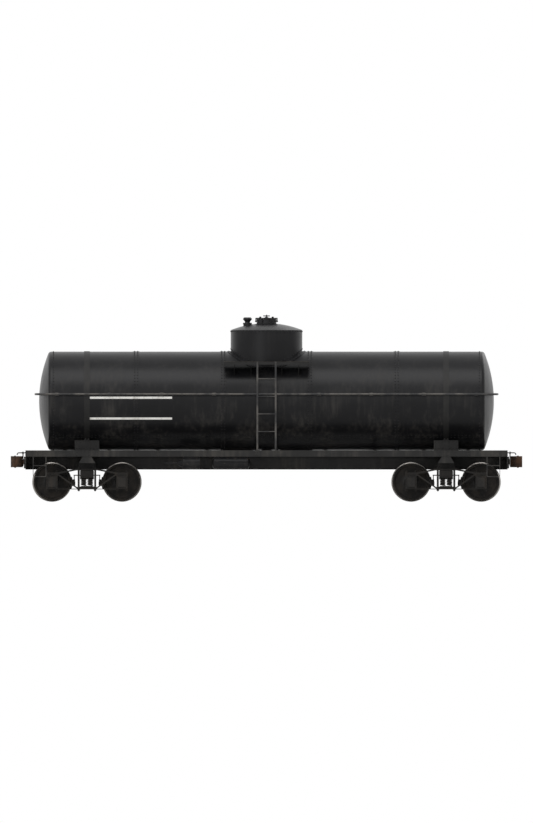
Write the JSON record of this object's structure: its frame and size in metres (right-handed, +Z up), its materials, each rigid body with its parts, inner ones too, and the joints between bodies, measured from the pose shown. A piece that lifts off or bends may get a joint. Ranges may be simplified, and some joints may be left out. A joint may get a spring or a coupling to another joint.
{
  "type": "railway tank car",
  "caption": "Full-size railway tank car: riveted black tank with expansion dome on a steel underframe, running on arch-bar trucks.",
  "frame": {"origin": "on the floor under the middle of the car, level with the wheel flanges' lowest points", "axes": "+X along the car towards its front end, +Y to its left, +Z up"},
  "size_m": [11.506, 2.772, 4.2062],
  "materials": {
    "tank_paint": "semi-gloss black paint over riveted steel plate, a little dusty",
    "frame_paint": "black paint on rolled steel, dustier than the tank",
    "fitting_paint": "black paint on cast fittings and pipe, worn at the grips",
    "truck_iron": "black paint dulled by brake dust and oil",
    "coupler_iron": "bare cast steel, browned",
    "wheel_iron": "dark chilled iron with a bright tread",
    "axle_steel": "oiled forged steel",
    "deck_wood": "planks stained black, greyed where walked on"
  },
  "bodies": {
    "car": {"tank_shell": "tank_paint", "front_tank_head": "tank_paint", "rear_tank_head": "tank_paint", "dome_shell": "tank_paint", "dome_head": "tank_paint", "manway_ring": "fitting_paint", "safety_valve": "fitting_paint", "dome_platforms": "frame_paint", "ladders": "fitting_paint", "handrail": "fitting_paint", "end_handrails": "fitting_paint", "handrail_brackets": "fitting_paint", "tank_bands": "frame_paint", "tank_saddles": "frame_paint", "tank_anchor": "frame_paint", "bottom_outlet": "fitting_paint", "center_sill": "frame_paint", "body_bolsters": "frame_paint", "end_sills": "frame_paint", "side_rails": "frame_paint", "cross_bearers": "frame_paint", "running_boards": "deck_wood", "end_boards": "deck_wood", "sill_steps": "fitting_paint", "draft_gear": "frame_paint", "front_coupler": "coupler_iron", "rear_coupler": "coupler_iron", "brake_cylinder": "fitting_paint", "air_reservoir": "fitting_paint", "brake_pipe": "fitting_paint"},
    "manway_lid": {"manway_cover": "fitting_paint"},
    "front_truck": {"front_truck_bolster": "truck_iron", "front_truck_left_frame": "truck_iron", "front_truck_right_frame": "truck_iron", "front_truck_boxes": "truck_iron", "front_truck_springs": "truck_iron", "front_truck_plank": "truck_iron", "front_truck_brakes": "truck_iron"},
    "rear_truck": {"rear_truck_bolster": "truck_iron", "rear_truck_left_frame": "truck_iron", "rear_truck_right_frame": "truck_iron", "rear_truck_boxes": "truck_iron", "rear_truck_springs": "truck_iron", "rear_truck_plank": "truck_iron", "rear_truck_brakes": "truck_iron"},
    "wheelset_1": {"axle_1": "axle_steel", "wheels_1": "wheel_iron"},
    "wheelset_2": {"axle_2": "axle_steel", "wheels_2": "wheel_iron"},
    "wheelset_3": {"axle_3": "axle_steel", "wheels_3": "wheel_iron"},
    "wheelset_4": {"axle_4": "axle_steel", "wheels_4": "wheel_iron"}
  },
  "joints": [
    {"name": "manway_cover_hinge", "type": "hinge", "parent": "car", "child": "manway_lid", "pos_m": [0, 0.28, 4.127], "axis": [-1, 0, 0], "range_deg": [0, 110]},
    {"name": "front_truck_swivel", "type": "hinge", "parent": "car", "child": "front_truck", "pos_m": [4.039, 0, 0.7], "axis": [0, 0, 1], "range_deg": [-6, 6]},
    {"name": "rear_truck_swivel", "type": "hinge", "parent": "car", "child": "rear_truck", "pos_m": [-4.039, 0, 0.7], "axis": [0, 0, 1], "range_deg": [-6, 6]},
    {"name": "wheelset_1_roll", "type": "hinge", "parent": "rear_truck", "child": "wheelset_1", "pos_m": [-4.8265, 0, 0.444], "axis": [0, 1, 0], "continuous": true},
    {"name": "wheelset_2_roll", "type": "hinge", "parent": "rear_truck", "child": "wheelset_2", "pos_m": [-3.2515, 0, 0.444], "axis": [0, 1, 0], "continuous": true},
    {"name": "wheelset_3_roll", "type": "hinge", "parent": "front_truck", "child": "wheelset_3", "pos_m": [3.2515, 0, 0.444], "axis": [0, 1, 0], "continuous": true},
    {"name": "wheelset_4_roll", "type": "hinge", "parent": "front_truck", "child": "wheelset_4", "pos_m": [4.8265, 0, 0.444], "axis": [0, 1, 0], "continuous": true}
  ]
}
